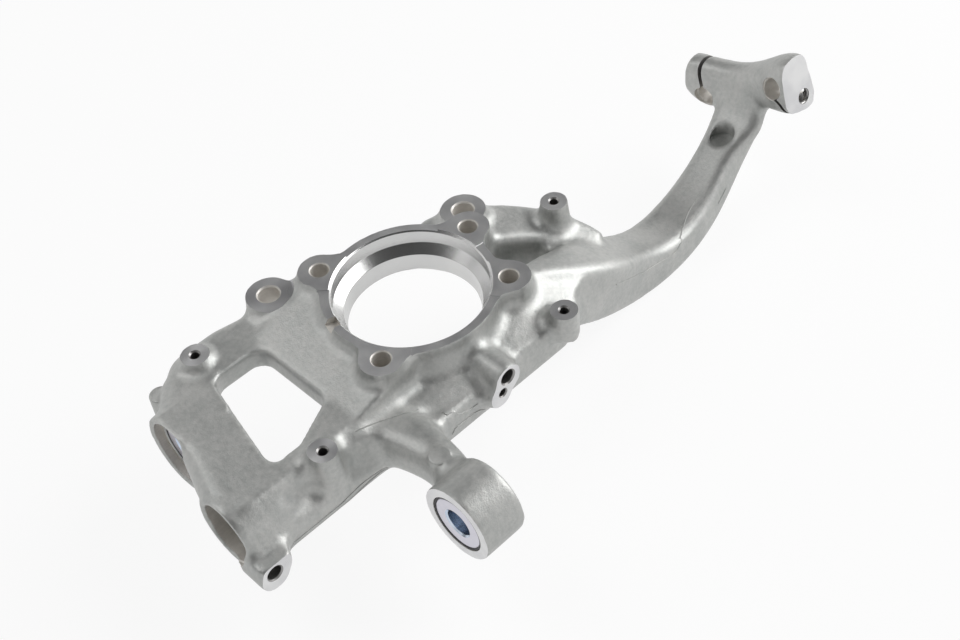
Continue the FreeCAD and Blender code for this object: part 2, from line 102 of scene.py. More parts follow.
# %% [markdown]
# ## Mesh helpers
# Tools such as drills and mills are solids of revolution or plain blocks, so a few helpers around bmesh
# operators make all of them. The part lies with its wheel side up. Its nose, where the lower joints are, points
# along -X, and its near side faces -Y. The helpers take points as vectors in metres, and radii, heights and
# outlines as plain numbers in millimetres, as on a drawing.

# %% Directions and lengths
UP = Vector((0, 0, 1))
TO_NOSE = Vector((-1, 0, 0))
TO_NEAR = Vector((0, -1, 0))


def mm(*numbers):
    """A vector in metres from millimetres."""
    return Vector(numbers) * MM


def facing(point, direction):
    """The matrix that puts a tool at a point, its local Z along a direction."""
    return Matrix.Translation(point) @ Vector(direction).to_track_quat("Z", "Y").to_matrix().to_4x4()


print("up, to the nose, to the near side:", tuple(UP), tuple(TO_NOSE), tuple(TO_NEAR))

# %% Helpers that add cutting tools to a bmesh
def add_cylinder(bm, point, direction, radius, low, high, segments=96):
    """A capped cylinder along a direction, from low to high as measured from the point."""
    matrix = facing(point, direction) @ Matrix.Translation((0, 0, (low + high) / 2 * MM))
    bmesh.ops.create_cone(bm, cap_ends=True, segments=segments, radius1=radius * MM, radius2=radius * MM,
                          depth=(high - low) * MM, matrix=matrix)


def add_block(bm, centre, lengths, turn=Matrix.Identity(3)):
    """A block around a centre, with its edge lengths as a vector, turned by a 3 by 3 matrix."""
    made = bmesh.ops.create_cube(bm, size=1.0)["verts"]
    bmesh.ops.scale(bm, vec=lengths, verts=made)
    bmesh.ops.transform(bm, matrix=Matrix.Translation(centre) @ turn.to_4x4(), verts=made)


def turned(outline, point, direction, segments, closed=False):
    """A bmesh of an outline of (radius, height) pairs, spun about an axis through a point."""
    bm = bmesh.new()
    verts = [bm.verts.new((radius * MM, 0, height * MM)) for radius, height in outline]
    edges = [bm.edges.new(pair) for pair in zip(verts, verts[1:])]
    if closed:
        edges.append(bm.edges.new((verts[-1], verts[0])))
    bmesh.ops.spin(bm, geom=verts + edges, cent=(0, 0, 0), axis=(0, 0, 1), angle=math.tau, steps=segments,
                   use_merge=True)
    bmesh.ops.remove_doubles(bm, verts=bm.verts, dist=1e-6)
    bmesh.ops.transform(bm, matrix=facing(point, direction), verts=bm.verts)
    return bm


def add_turned(bm, outline, point, direction, segments=128):
    """A solid of revolution beside what the bmesh already holds; its outline starts and ends on the axis."""
    solid = turned(outline, point, direction, segments)
    mesh = bpy.data.meshes.new("turned")
    solid.to_mesh(mesh)
    solid.free()
    bm.from_mesh(mesh)
    bpy.data.meshes.remove(mesh)


# %% Helpers that make objects
def mesh_object(name, bm, material):
    """A linked object from a bmesh, which is freed."""
    mesh = bpy.data.meshes.new(name)
    bm.to_mesh(mesh)
    bm.free()
    mesh.materials.append(material)
    item = bpy.data.objects.new(name, mesh)
    bpy.context.scene.collection.objects.link(item)
    return item


def apply_modifiers(item, *settings):
    """Changes the item's mesh by a run of modifiers; each setting is (type, {property: value})."""
    for kind, values in settings:
        modifier = item.modifiers.new(kind.lower(), kind)
        for key, value in values.items():
            setattr(modifier, key, value)
    graph = bpy.context.evaluated_depsgraph_get()
    mesh = bpy.data.meshes.new_from_object(item.evaluated_get(graph), preserve_all_data_layers=True,
                                           depsgraph=graph)
    item.modifiers.clear()
    item.data = mesh


# %% [markdown]
# ## Finishes
# The knuckle shows only bare metal, so everything depends on how rough each surface is. An image could hold that
# detail, but a pattern made by nodes stays sharp at any distance and needs no file. The maths is written as
# ordinary Python on shader sockets, which keeps each finish short enough to read.

# %% A socket that can be calculated with
class Sock:
    """A shader value; the operators add Math nodes to its tree."""

    def __init__(self, tree, socket):
        self.tree, self.socket = tree, socket

    def value(self, output, kind, sockets, **settings):
        """An output of any other node: its settings come first, then its sockets by name or number."""
        made = self.tree.nodes.new(kind)
        for key, setting in settings.items():
            setattr(made, key, setting)
        for key, given in sockets.items():
            if isinstance(given, Sock):
                given.feed(made.inputs[key])
            else:
                made.inputs[key].default_value = given
        return Sock(self.tree, made.outputs[output])

    def feed(self, socket):
        """Links this value to a node's input."""
        self.tree.links.new(self.socket, socket)

    def maths(self, operation, *others):
        """A Math node on this value and others, which may be numbers."""
        return self.value(0, "ShaderNodeMath", dict(enumerate((self, *others))), operation=operation)

    def __add__(self, other):
        return self.maths("ADD", other)

    def __sub__(self, other):
        return self.maths("SUBTRACT", other)

    def __mul__(self, other):
        return self.maths("MULTIPLY", other)

    def __rsub__(self, other):
        return self * -1.0 + other

    __radd__, __rmul__ = __add__, __mul__

    def steep(self, low, high):
        """0 at low, 1 at high and smooth between."""
        return self.value("Result", "ShaderNodeMapRange", {"Value": self, "From Min": low, "From Max": high},
                          interpolation_type="SMOOTHSTEP")

    def noise(self, scale, detail=3.0, rough=0.5):
        """Cloudy noise on this vector; scale is in repeats for each metre."""
        return self.value("Fac", "ShaderNodeTexNoise", {"Vector": self, "Scale": scale, "Detail": detail,
                                                        "Roughness": rough})

    def stretched(self, x, y, z):
        """This vector with each axis multiplied by its own number."""
        return self.value("Vector", "ShaderNodeVectorMath", {0: self, 1: (x, y, z)}, operation="MULTIPLY")

    def length(self):
        """How long this vector is."""
        return self.value("Value", "ShaderNodeVectorMath", {0: self}, operation="LENGTH")

    def height(self):
        """The upright part of this vector."""
        return self.value("Z", "ShaderNodeSeparateXYZ", {0: self})

    def mix(self, low, high):
        """A colour between two, by this value."""
        return self.value(2, "ShaderNodeMix", {0: self, 6: (*low, 1), 7: (*high, 1)}, data_type="RGBA")


# %% Helpers that make finishes
def coordinates(tree, kind):
    """Object, UV or Generated coordinates in a tree."""
    return Sock(tree, tree.nodes.new("ShaderNodeTexCoord").outputs[kind])


def new_material(name, metallic, roughness):
    """A material, its main shader and its object coordinates; both values hold where nothing is linked."""
    material = bpy.data.materials.new(name)
    material.use_nodes = True
    shader = material.node_tree.nodes["Principled BSDF"]
    shader.inputs["Metallic"].default_value = metallic
    shader.inputs["Roughness"].default_value = roughness
    return material, shader, coordinates(material.node_tree, "Object")


def finish_with(shader, colour, roughness, height=None, depth=0.0, strength=0.0):
    """Links what varies over the surface; height becomes a bump of the given depth in metres."""
    colour.feed(shader.inputs["Base Color"])
    roughness.feed(shader.inputs["Roughness"])
    if height is not None:
        bump = height.value("Normal", "ShaderNodeBump", {"Height": height, "Distance": depth,
                                                         "Strength": strength})
        bump.feed(shader.inputs["Normal"])


# %% [markdown]
# Cast aluminium is a dull grey. Clouds of tone, small pits and marks dragged along the draw of the mould are
# three noises of different sizes, and a fourth makes the fine grain of the bump.

# %% Cast aluminium
cast_skin, shader, where = new_material("cast_aluminium_skin", 0.8, 0.5)
clouds = where.noise(38.0, 4.0)
grain = where.noise(1500.0, 2.0)
pits = where.noise(420.0, 3.0, 0.6)
drag = where.stretched(260.0, 260.0, 18.0).noise(1.0, 3.0)
tone = (clouds * 0.4 + pits * 0.35 + drag * 0.25).steep(0.3, 0.7)
finish_with(shader, tone.mix((0.38, 0.39, 0.38), (0.53, 0.53, 0.515)), (clouds + drag) * 0.14 + 0.35,
            grain * 0.5 + pits * 0.9 + drag * 0.5, 0.00035, 0.5)
print("finish:", cast_skin.name)

# %% [markdown]
# A cutter leaves rings around its own axis on a face and fine grooves along a bore. Both are a sine wave, of the
# distance from the axis in one case and of the height in the other. The wall of a drilled hole is rougher. Its
# pale colour is partly the drilled metal's own tone and partly painted light for the holes that let light in.
# Deep narrow holes get a dark colour that is painted shade.

# %% Milled faces, bored walls and drilled holes
RINGS = 7000.0
GROOVES = 11000.0

milled_face, shader, where = new_material("milled_face", 0.85, 0.3)
from_axis = coordinates(milled_face.node_tree, "UV").length()
rings = (from_axis * RINGS + where.noise(200.0) * 1.5).maths("SINE")
drift = where.noise(60.0, 2.0)
finish_with(shader, drift.steep(0.3, 0.7).mix((0.62, 0.62, 0.63), (0.74, 0.74, 0.74)), drift * 0.12 + 0.24,
            rings * 0.5 + where.noise(900.0) * 0.4, 0.00008, 0.5)

bored_wall, shader, where = new_material("bored_wall", 1.0, 0.2)
grooves = (where.height() * GROOVES).maths("SINE")
drift = where.noise(40.0, 2.0)
finish_with(shader, drift.mix((0.55, 0.55, 0.55), (0.68, 0.68, 0.67)), drift * 0.1 + 0.2,
            grooves, 0.00003, 0.35)

# pale colour: partly the drilled metal's own tone, partly painted light for holes and bores that let light in
wall_with_painted_light, shader, where = new_material("wall_with_painted_light", 0.35, 0.45)
drift = where.noise(300.0, 2.0)
feed_marks = where.stretched(60.0, 60.0, 1500.0).noise(1.0, 2.0)
finish_with(shader, (drift * 0.5 + feed_marks * 0.5).mix((0.52, 0.50, 0.47), (0.84, 0.81, 0.76)),
            drift * 0.2 + 0.35, feed_marks, 0.0001, 0.4)

# dark colour: painted shade deep inside narrow holes, slots and clearance drills
wall_with_painted_shade, shader, where = new_material("dark_hole_painted_shade", 0.9, 0.35)
drift = where.noise(300.0, 2.0)
finish_with(shader, drift.mix((0.20, 0.20, 0.20), (0.42, 0.41, 0.40)), drift * 0.2 + 0.28)
print("finishes:", [made.name for made in (milled_face, bored_wall, wall_with_painted_light, wall_with_painted_shade)])

# %% [markdown]
# The pressed-in sleeves are turned steel with a bluish zinc plating inside, and the rings around them are black
# rubber. Each finish is two near tones with a soft drift between them, so that no surface is one flat colour.

# %% Zinc, steel and rubber
zinc_bore, shader, where = new_material("blue_zinc_bore", 1.0, 0.22)
drift = where.noise(120.0, 3.0)
finish_with(shader, drift.mix((0.42, 0.52, 0.66), (0.66, 0.70, 0.76)), drift * 0.14 + 0.16)

steel_face, shader, where = new_material("turned_steel_face", 0.85, 0.34)
drift = where.noise(200.0, 3.0)
finish_with(shader, drift.mix((0.58, 0.57, 0.64), (0.72, 0.71, 0.77)), drift * 0.16 + 0.26,
            drift, 0.0001, 0.3)

seal_rubber, shader, where = new_material("seal_rubber", 0.0, 0.55)
drift = where.noise(500.0, 2.0)
finish_with(shader, drift.mix((0.018, 0.018, 0.02), (0.05, 0.05, 0.055)), drift * 0.2 + 0.45,
            drift, 0.0001, 0.3)
print("finishes:", [made.name for made in (zinc_bore, steel_face, seal_rubber)])

# %% [markdown]
# ## Rough casting
# A knuckle leaves the mould a little too thick wherever a face will be milled later, and its holes are still
# closed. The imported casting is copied, its loose triangles are merged, and the machined faces are extruded
# outwards to give that spare metal back.

# %% Where the machined faces are
RELIEF = 0.7
EAR_Z = -9.0
SENSOR_Y = -78.0
TUBE_Y = 31.0
TUBE_Z = -35.0
STUD_X = -148.5

EYE = mm(-84.7, -121.4, -30)
EYE_BACK = mm(-58.4, -121.4, -30)
LINK = mm(-169, -TUBE_Y, TUBE_Z)
SLEEVE = mm(STUD_X, TUBE_Y, TUBE_Z)
SENSOR = mm(-1.6, SENSOR_Y, -19.5)
LUG = mm(-163.7, -65, -43)
HEAD_FAR = mm(282, 24, -30)
HEAD_END = mm(282, -61, -10)
HEAD_END_TURN = Matrix.Rotation(math.radians(-14), 3, "X")
HEAD_END_NORMAL = HEAD_END_TURN @ TO_NEAR


def at_level(mount, z):
    """The point on a mount's vertical axis at a level in millimetres."""
    place = Vector(mounts[mount]["pos_m"])
    return Vector((place.x, place.y, z * MM))


LOBES = [at_level("hub_bolt_" + side, 0) for side in ("top", "right", "left", "bottom")]
EARS = [at_level("caliper_ear_" + side, EAR_Z) for side in ("left", "right")]
BOSSES = [at_level("shield_screw_" + letter, EAR_Z) for letter in "abcd"]
print("lobes, ears and bosses:", len(LOBES), len(EARS), len(BOSSES))

# %% Spare metal on the faces that will be milled
STOCK = 2.0
SAME_POINT = 0.02 * MM
ON_PLANE = 0.05 * MM
SAME_WAY = 0.999
MILLED_PLANES = [
    # outward normal, a point on the plane
    (UP, mm(0, 0, 0)), (UP, mm(0, 0, -RELIEF)), (UP, mm(0, 0, EAR_Z)), (TO_NEAR, SENSOR), (TO_NEAR, LUG),
    (TO_NOSE, EYE), (-TO_NOSE, EYE_BACK), (HEAD_END_NORMAL, HEAD_END), (-TO_NEAR, HEAD_FAR),
]
rough = bmesh.new()
rough.from_mesh(frame["nodes"]["knuckle_casting"].data)
bmesh.ops.remove_doubles(rough, verts=rough.verts, dist=SAME_POINT)
rough.normal_update()
for normal, point in MILLED_PLANES:
    flat = [face for face in rough.faces if face.normal.dot(normal) > SAME_WAY
            and abs((face.calc_center_median() - point).dot(normal)) < ON_PLANE]
    grown = bmesh.ops.extrude_face_region(rough, geom=flat)["geom"]
    lifted = [item for item in grown if isinstance(item, bmesh.types.BMVert)]
    bmesh.ops.translate(rough, verts=lifted, vec=normal * (STOCK * MM))
print("faces with spare metal:", len(rough.faces))

# %% [markdown]
# Each hole is listed once and used twice: first to close it with a plug, later to drill it. A plug is a little
# wider than its hole and stops short of the hole's far end, so that no peg stands out at the back.

# %% Holes to close now and to drill later
Hole = namedtuple("Hole", "mouth out radius chamfer plug depth")

RIGHT_PIN = Vector((-0.94, 0.12, 0.30)).normalized()
LEFT_PIN = Vector((-0.99, 0, -0.1)).normalized()
PINCH = Vector((0, -0.9728, 0.2317))
HOLES = {
    # a hole whose plug is 0 long stays open
    "bolt_top": Hole(LOBES[0], UP, 5.5, 0.7, 33, 60),
    "bolt_right": Hole(LOBES[1], UP, 5.5, 0.7, 47, 60),
    "bolt_left": Hole(LOBES[2], UP, 5.5, 0.7, 26, 60),
    "bolt_bottom": Hole(LOBES[3], UP, 5.5, 0.7, 43, 60),
    "ear_left": Hole(EARS[0], UP, 6.5, 0.9, 17, 50),
    "ear_right": Hole(EARS[1], UP, 6.5, 0.9, 24, 50),
    "lug": Hole(LUG, TO_NEAR, 4.5, 0.8, 20, 28),
    "pinch": Hole(mm(284.5, -60.5, -10.4), PINCH, 4.6, 0.6, 86, 120),
    "pin_right": Hole(mm(268, -48.5, -0.5), RIGHT_PIN, 7.0, 0.6, 28, 50),
    "pin_left": Hole(mm(274, 9, -38), LEFT_PIN, 7.0, 0.6, 20, 50),
    "sensor": Hole(SENSOR, TO_NEAR, 4.6, 0.9, 37, 44),
    "sensor_screw": Hole(mm(-6.5, SENSOR_Y, -28.5), TO_NEAR, 2.6, 0.7, 0, 13),
    "eye": Hole(EYE, TO_NOSE, 16.0, 0, 0, 27.3),
    "sleeve": Hole(SLEEVE, TO_NOSE, 16.0, 0, 0, 27),
    "link": Hole(LINK, TO_NOSE, 18.2, 0.8, 0, 30),
}
BOSS_SCREWS = [Hole(boss, UP, 2.6, 0.9, 14, 17) for boss in BOSSES]
print("holes:", len(HOLES) + len(BOSS_SCREWS))

# %% Plugs
HOLE_SPARE = 0.4
SCREW_SPARE = 0.6
HUB_PLUGS = [
    # radius, low, high
    (47.8, -12, STOCK), (41.0, -24, 0),
]
for hole in HOLES.values():
    if hole.plug:
        add_cylinder(rough, hole.mouth, hole.out, hole.radius + HOLE_SPARE, -hole.plug, STOCK, segments=32)
for hole in BOSS_SCREWS:
    add_cylinder(rough, hole.mouth, hole.out, hole.radius + SCREW_SPARE, -hole.plug, STOCK, segments=24)
for radius, low, high in HUB_PLUGS:
    add_cylinder(rough, mm(0, 0, 0), UP, radius, low, high)
print("faces with plugs:", len(rough.faces))

# %% [markdown]
# The near wall of the nose is hollow: it leaves the top edge steeply and swings out again to a foot. Four
# outlines across the nose, which change from the shape beside the tube to the open valley, are bridged into one
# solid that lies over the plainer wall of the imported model.

# %% The hollow near wall
TUBE_SIDE = [(-30, -14), (-38, -14.8), (-43, -17.5), (-47, -21), (-50.5, -26), (-52.4, -32), (-53.5, -38),
             (-55, -44), (-55, -49), (-30, -52)]
NEAR_WALL = [(-30, -14), (-33, -14.5), (-37, -18), (-39.5, -24), (-42, -30), (-46.5, -36), (-52, -40.5),
             (-55, -44), (-55, -49), (-30, -52)]
stations = [rough.faces.new([rough.verts.new(mm(x, y, z)) for y, z in outline])
            for x, outline in ((-161, TUBE_SIDE), (-142, TUBE_SIDE), (-112, NEAR_WALL), (-73, NEAR_WALL))]
for first, second in zip(stations, stations[1:]):
    bmesh.ops.bridge_loops(rough, edges=[*first.edges, *second.edges])
bmesh.ops.delete(rough, geom=stations[1:-1], context="FACES_ONLY")
print("outlines of the near wall:", len(stations))

# %% [markdown]
# Metal also flows in smooth slopes where a thick form meets a thin one. A convex hull over a dozen corners gives
# such a wedge at once, and the rounding that follows hides its edges.

# %% Slopes between the forms
SLOPES = {
    "right_lobe_to_neck": [
        (14, -50, -15), (38, -52, -14), (60, -46, -14.5), (90, -40, -19.5), (90, -53, -24), (62, -64, -23),
        (38, -66, -20), (10, -64, -20), (10, -50, -34), (90, -45, -34), (60, -60, -34), (20, -62, -34)],
    "root_of_arm": [
        (-100, -46, -20), (-84, -44, -16), (-72, -52, -19), (-74, -60, -38), (-100, -56, -42),
        (-84, -56, -43), (-70, -45, -40), (-100, -40, -40)],
}
for corners in SLOPES.values():
    points = [rough.verts.new(mm(*corner)) for corner in corners]
    hull = bmesh.ops.convex_hull(rough, input=points)
    bmesh.ops.delete(rough, geom=hull["geom_interior"], context="VERTS")
print("slopes:", list(SLOPES))

# %% [markdown]
# A voxel remesh makes one skin of everything. The skin is then swollen, remeshed and shrunk again: narrow inner
# corners close while it is swollen and stay filled, which is just how the corners of a mould are rounded.
# Bevels on each edge would be far more work and would fail where many edges meet. Smoothing softens the outer
# corners and takes a little off the size, so the shrinking stops a little early.

# %% One skin with cast corners
VOXEL = 1.6 * MM
FILLET = 4.8 * MM
SMOOTHING_LOSS = 0.1 * MM
casting = mesh_object("knuckle_casting_dressed", rough, cast_skin)
remesh = ("REMESH", {"mode": "VOXEL", "voxel_size": VOXEL})
swell = ("DISPLACE", {"strength": FILLET, "mid_level": 0.0})
shrink = ("DISPLACE", {"strength": SMOOTHING_LOSS - FILLET, "mid_level": 0.0})
smooth = ("SMOOTH", {"factor": 0.5, "iterations": 3})
apply_modifiers(casting, remesh, swell, remesh, shrink, remesh, smooth)
print("cast skin:", len(casting.data.vertices), "points")

# %% [markdown]
# ## Machining
# Every cutting tool is a solid of revolution or a block, and Blender's Boolean takes it out of the casting. The
# cutter's material goes with the cut, so a milled face or a bored wall knows its own finish. The cuts come in
# passes, because tools that cross each other can't be in the same mesh: the mills first, then the drills.

# %% The cutting passes
def cut_with(bm, material, name, operation="DIFFERENCE"):
    """Takes a cutter out of the casting; the cut walls get the cutter's material."""
    bmesh.ops.recalc_face_normals(bm, faces=bm.faces)
    cutter = mesh_object(name, bm, material)
    apply_modifiers(casting, ("BOOLEAN", {"operation": operation, "solver": "MANIFOLD", "object": cutter,
                                          "material_mode": "TRANSFER"}))
    bpy.data.objects.remove(cutter)
    print(name, "leaves", len(casting.data.polygons), "faces")


def join_with(bm, name):
    """Adds a closed shape to the casting, in its skin."""
    cut_with(bm, cast_skin, name, "UNION")


def drill(bm, hole, reach=6.0):
    """A drill with its countersink, as one turned solid that reaches a little outside the hole."""
    wide = hole.radius + hole.chamfer
    outline = [(0, -hole.depth), (hole.radius, -hole.depth), (hole.radius, -hole.chamfer), (wide, 0),
               (wide, reach), (0, reach)]
    add_turned(bm, outline, hole.mouth, hole.out, segments=64)


# %% [markdown]
# The flange, the screw bosses and the lug are faced by round mills. The end of the arm, the sensor's boss and
# both ends of the head are wider than a plain mill's disc, so blocks cut them. The mill of the right ear would
# run into the top lobe, which stands higher, and its side is pushed back to that lobe's radius.

# %% Face mills
FLANGE_MILL = 74
BOSS_MILL = 10.5
LUG_MILL = 15
EYE_BACK_MILL = 17.5
BLOCK = 10

mills = bmesh.new()
add_cylinder(mills, mm(0, 0, 0), UP, FLANGE_MILL, 0, 12)
add_block(mills, mm(-4, SENSOR_Y - BLOCK / 2, -24), mm(34, BLOCK, 40))
add_cylinder(mills, LUG + mm(0, 0, -2), TO_NEAR, LUG_MILL, 0, 8)
add_block(mills, EYE + mm(-BLOCK / 2, -0.6, 0), mm(BLOCK, 54, 60))
add_cylinder(mills, EYE_BACK, -TO_NOSE, EYE_BACK_MILL, 0, 10)
add_block(mills, HEAD_END + HEAD_END_NORMAL * (BLOCK / 2 * MM), mm(60, BLOCK, 60), HEAD_END_TURN)
add_block(mills, HEAD_FAR + mm(0, BLOCK / 2, 0), mm(60, BLOCK, 60))
for boss in BOSSES:
    add_cylinder(mills, boss, UP, BOSS_MILL, 0, 8)
cut_with(mills, milled_face, "face_mills")

# %% Ear mills
EAR_MILL = 15.5
LOBE_RADIUS = 13 * MM

mills = bmesh.new()
for ear in EARS:
    add_cylinder(mills, ear, UP, EAR_MILL, 0, 20)
for vert in mills.verts:
    away = (vert.co - LOBES[0]) * Vector((1, 1, 0))
    if away.length < LOBE_RADIUS:
        vert.co += away.normalized() * (LOBE_RADIUS - away.length)
cut_with(mills, milled_face, "ear_mills")

# %% [markdown]
# The hub bore is the most precise surface of the part: a lead-in cone, the seat of the wheel bearing, a second
# cone and the throat behind it. One outline spun about the hub's axis cuts all four, as a boring bar does.

# %% Hub bore
HUB_OUTLINE = [(0, 4), (51.5, 4), (46, -1.5), (46, -10), (40.5, -15), (40.5, -21.5), (39.5, -26.5),
               (39.5, -70), (0, -70)]
bores = bmesh.new()
add_turned(bores, HUB_OUTLINE, mm(0, 0, 0), UP, segments=192)
cut_with(bores, bored_wall, "hub_bore")

# %% [markdown]
# Three bores open towards the nose. The one for the link is plain. The other two are stepped: a narrow bore
# holds a steel sleeve, and a wider seat at its mouth holds the rubber ring. The far one lies deeper, so that its
# mouth has a still wider recess. Where the recess is no wider than the seat, the corner they share is dropped.

# %% Joint bores
RING_RADIUS = 17.5
RING_DEPTH = 4
FAR_RECESS = 21.5
MOUTH_REACH = 30

bores = bmesh.new()
drill(bores, HOLES["link"], MOUTH_REACH)
for hole, recess in ((HOLES["eye"], RING_RADIUS), (HOLES["sleeve"], FAR_RECESS)):
    outline = [(0, -hole.depth), (hole.radius, -hole.depth), (hole.radius, -RING_DEPTH),
               (RING_RADIUS, -RING_DEPTH), (RING_RADIUS, 0), (recess, 0), (recess, MOUTH_REACH),
               (0, MOUTH_REACH)]
    add_turned(bores, list(dict.fromkeys(outline)), hole.mouth, hole.out)
cut_with(bores, wall_with_painted_light, "joint_bores")

# %% [markdown]
# The bearing touches the flange only at the four lobes. Between them the face is cut a little lower, so that the
# bearing sits firmly on four small areas. Each relief is one rectangle spun through the angle from lobe to lobe.
# A small notch in the rim lets the bearing be levered out.

# %% Reliefs and notch of the flange
LOBE_HALF_ANGLE = 17
RELIEF_PROFILE = [(44, -RELIEF), (60, -RELIEF), (60, 4), (44, 4)]
NOTCH_TURN = Matrix.Rotation(math.radians(165), 3, "Z")

reliefs = bmesh.new()
lobe_angles = sorted(math.degrees(math.atan2(lobe.y, lobe.x)) for lobe in LOBES)
for angle, next_angle in zip(lobe_angles, lobe_angles[1:] + lobe_angles[:1]):
    start = math.radians(angle + LOBE_HALF_ANGLE)
    sweep = (next_angle - angle) % 360 - 2 * LOBE_HALF_ANGLE
    corners = [reliefs.verts.new(mm(radius, 0, z)) for radius, z in RELIEF_PROFILE]
    profile = reliefs.faces.new(corners)
    bmesh.ops.rotate(reliefs, verts=corners, cent=(0, 0, 0), matrix=Matrix.Rotation(start, 3, "Z"))
    bmesh.ops.spin(reliefs, geom=[profile, *profile.edges, *corners], cent=(0, 0, 0), axis=UP,
                   angle=math.radians(sweep), steps=int(sweep / 2))
cut_with(reliefs, milled_face, "flange_reliefs")

notch = bmesh.new()
add_block(notch, NOTCH_TURN @ mm(49.5, 0, 0), mm(7, 8, 10), NOTCH_TURN)
cut_with(notch, wall_with_painted_light, "flange_notch")

# %% [markdown]
# The drills follow in three passes. Through holes are wide and let light in, and their walls get the pale finish
# with painted light. Screw holes are narrow and end in the metal, and their walls get the dark finish with
# painted shade. The third pass holds what would cross the others: the long hole of the pinch bolt, the second
# hole of the sensor, and two wide drills that clear the nuts and studs behind the tubes of the nose.

# %% Bolt holes and pin bores
DRILL_REACH = 20

drills = bmesh.new()
for name in ("bolt_top", "bolt_right", "bolt_left", "bolt_bottom", "ear_left", "ear_right", "pin_right",
             "pin_left"):
    drill(drills, HOLES[name], DRILL_REACH)
cut_with(drills, wall_with_painted_light, "bolt_drills")

drills = bmesh.new()
for name in ("lug", "sensor"):
    drill(drills, HOLES[name], DRILL_REACH)
for hole in BOSS_SCREWS:
    drill(drills, hole)
cut_with(drills, wall_with_painted_shade, "drills")

# %% Drills that cross the first ones
STUD_CLEARANCE = 10.5

drills = bmesh.new()
drill(drills, HOLES["pinch"])
drill(drills, HOLES["sensor_screw"])
for y, depth in ((-TUBE_Y, 20.5), (TUBE_Y, 35.5)):
    add_cylinder(drills, mm(STUD_X, y, TUBE_Z), TO_NOSE, STUD_CLEARANCE, -depth, 0, segments=64)
cut_with(drills, wall_with_painted_shade, "second_drills")

# %% [markdown]
# The neck has a round dimple that clears the bolt of the upper link. It comes from the mould, so it keeps the
# cast skin. In the split head a saw slot runs from each pin bore to the nearest edge, so that the pinch bolt can
# close the head on its pins. A slot's block is turned so that its length follows the pin and its width lies
# across the way out.

# %% Dimple and slots
SLOT_LENGTHS = mm(60, 2.6, 40)
SLOT_INWARD = 12 * MM
SLOT_OUTWARD = 20 * MM

dimple = bmesh.new()
add_cylinder(dimple, mm(254, -21, -48.5), UP, 8, 0, 30, segments=64)
cut_with(dimple, cast_skin, "dimple")

slots = bmesh.new()
for pin, open_side in ((HOLES["pin_right"], Vector((0, -0.62, -0.78))),
                       (HOLES["pin_left"], Vector((0, 0.25, 1)))):
    across = pin.out.cross(open_side).normalized()
    outward = across.cross(pin.out).normalized()
    outward *= math.copysign(1, outward.dot(open_side))
    slot_turn = Matrix((pin.out, across, pin.out.cross(across))).transposed()
    add_block(slots, pin.mouth - pin.out * SLOT_INWARD + outward * SLOT_OUTWARD, SLOT_LENGTHS, slot_turn)
cut_with(slots, wall_with_painted_shade, "slots")

# %% [markdown]
# ## Marks of the mould
# Pins push a casting out of its mould and stand on small round pads. Each pad is a cylinder that is joined to
# the skin. Its rims are bevelled, because a mould has no sharp corners either.

# %% Ejector pads
PAD_RADIUS = 6.6
PAD_BEVEL = 1.2 * MM

pads = bmesh.new()
for top, depth in ((mm(-135.9, 68.7, -27), 20), (mm(-65.6, -91.1, -16), 10)):
    add_cylinder(pads, top, UP, PAD_RADIUS, -depth, 0, segments=48)
caps = [face for face in pads.faces if len(face.verts) > 4]
rims = [edge for cap in caps for edge in cap.edges]
bmesh.ops.bevel(pads, geom=rims, offset=PAD_BEVEL, segments=3, profile=0.5, affect="EDGES", material=-1)
join_with(pads, "ejector_pads")

# %% [markdown]
# The halves and inserts of the mould leave thin raised lines where they meet. Each line is a few points near the
# skin that are pulled onto it, then a thin round wire is joined to the casting along them. A bump texture could
# draw such a line too, but only a real ridge catches light from every side.

# %% Seams
SEAMS = [
    [(-163, -53, -43), (-142, -55, -45), (-111, -55, -45), (-89, -55, -41), (-76, -56, -40)],
    [(-163, -55, -47), (-142, -57, -49), (-111, -57, -49), (-89, -57, -45), (-78, -58, -44)],
    [(-41, -66, -14), (-40, -67, -27), (-24, -67, -31), (-9, -67, -29), (-2, -68, -31)],
    [(-43, -66, -41), (-38, -67, -36), (-22, -67, -36), (-8, -67, -34)],
    [(-84, -44, -18), (-66, -50, -16), (-48, -57, -16)],
    [(232, -32, -66), (205, -36, -76), (170, -46, -74), (142, -51, -66), (110, -60, -48)],
]
SEAM_RADIUS = 0.4 * MM
SEAM_STEP = 2 * MM


def seam_wire(skin, corners):
    """The mesh of a thin closed wire on a skin near a run of points."""
    path = [Vector(corners[0])]
    for start, end in zip(corners, corners[1:]):
        count = max(1, round((end - start).length / SEAM_STEP))
        path += [start.lerp(end, step / count) for step in range(1, count + 1)]
    curve = bpy.data.curves.new("seam", "CURVE")
    curve.dimensions = "3D"
    curve.bevel_depth = SEAM_RADIUS
    curve.bevel_resolution = 1
    curve.use_fill_caps = True
    spline = curve.splines.new("POLY")
    spline.points.add(len(path) - 1)
    for point, near_skin in zip(spline.points, path):
        point.co = (*skin.find_nearest(near_skin)[0], 1)
    wire = bpy.data.objects.new("seam", curve)
    mesh = bpy.data.meshes.new_from_object(wire)
    bpy.data.objects.remove(wire)
    return mesh


casting_skin = BVHTree.FromObject(casting, bpy.context.evaluated_depsgraph_get())
wires = bmesh.new()
for corners in SEAMS:
    wires.from_mesh(seam_wire(casting_skin, [mm(*corner) for corner in corners]))
bmesh.ops.remove_doubles(wires, verts=wires.verts, dist=1e-6)
join_with(wires, "seams")

# %% [markdown]
# ## Marks of the cutters
# The rings on a milled face run around the axis of its cutter. The material can't know where that axis was, so
# the UV map tells it: each corner of a milled face gets its place as seen along the axis of the nearest cutter,
# and the distance from the middle of the map is then the distance from the axis.

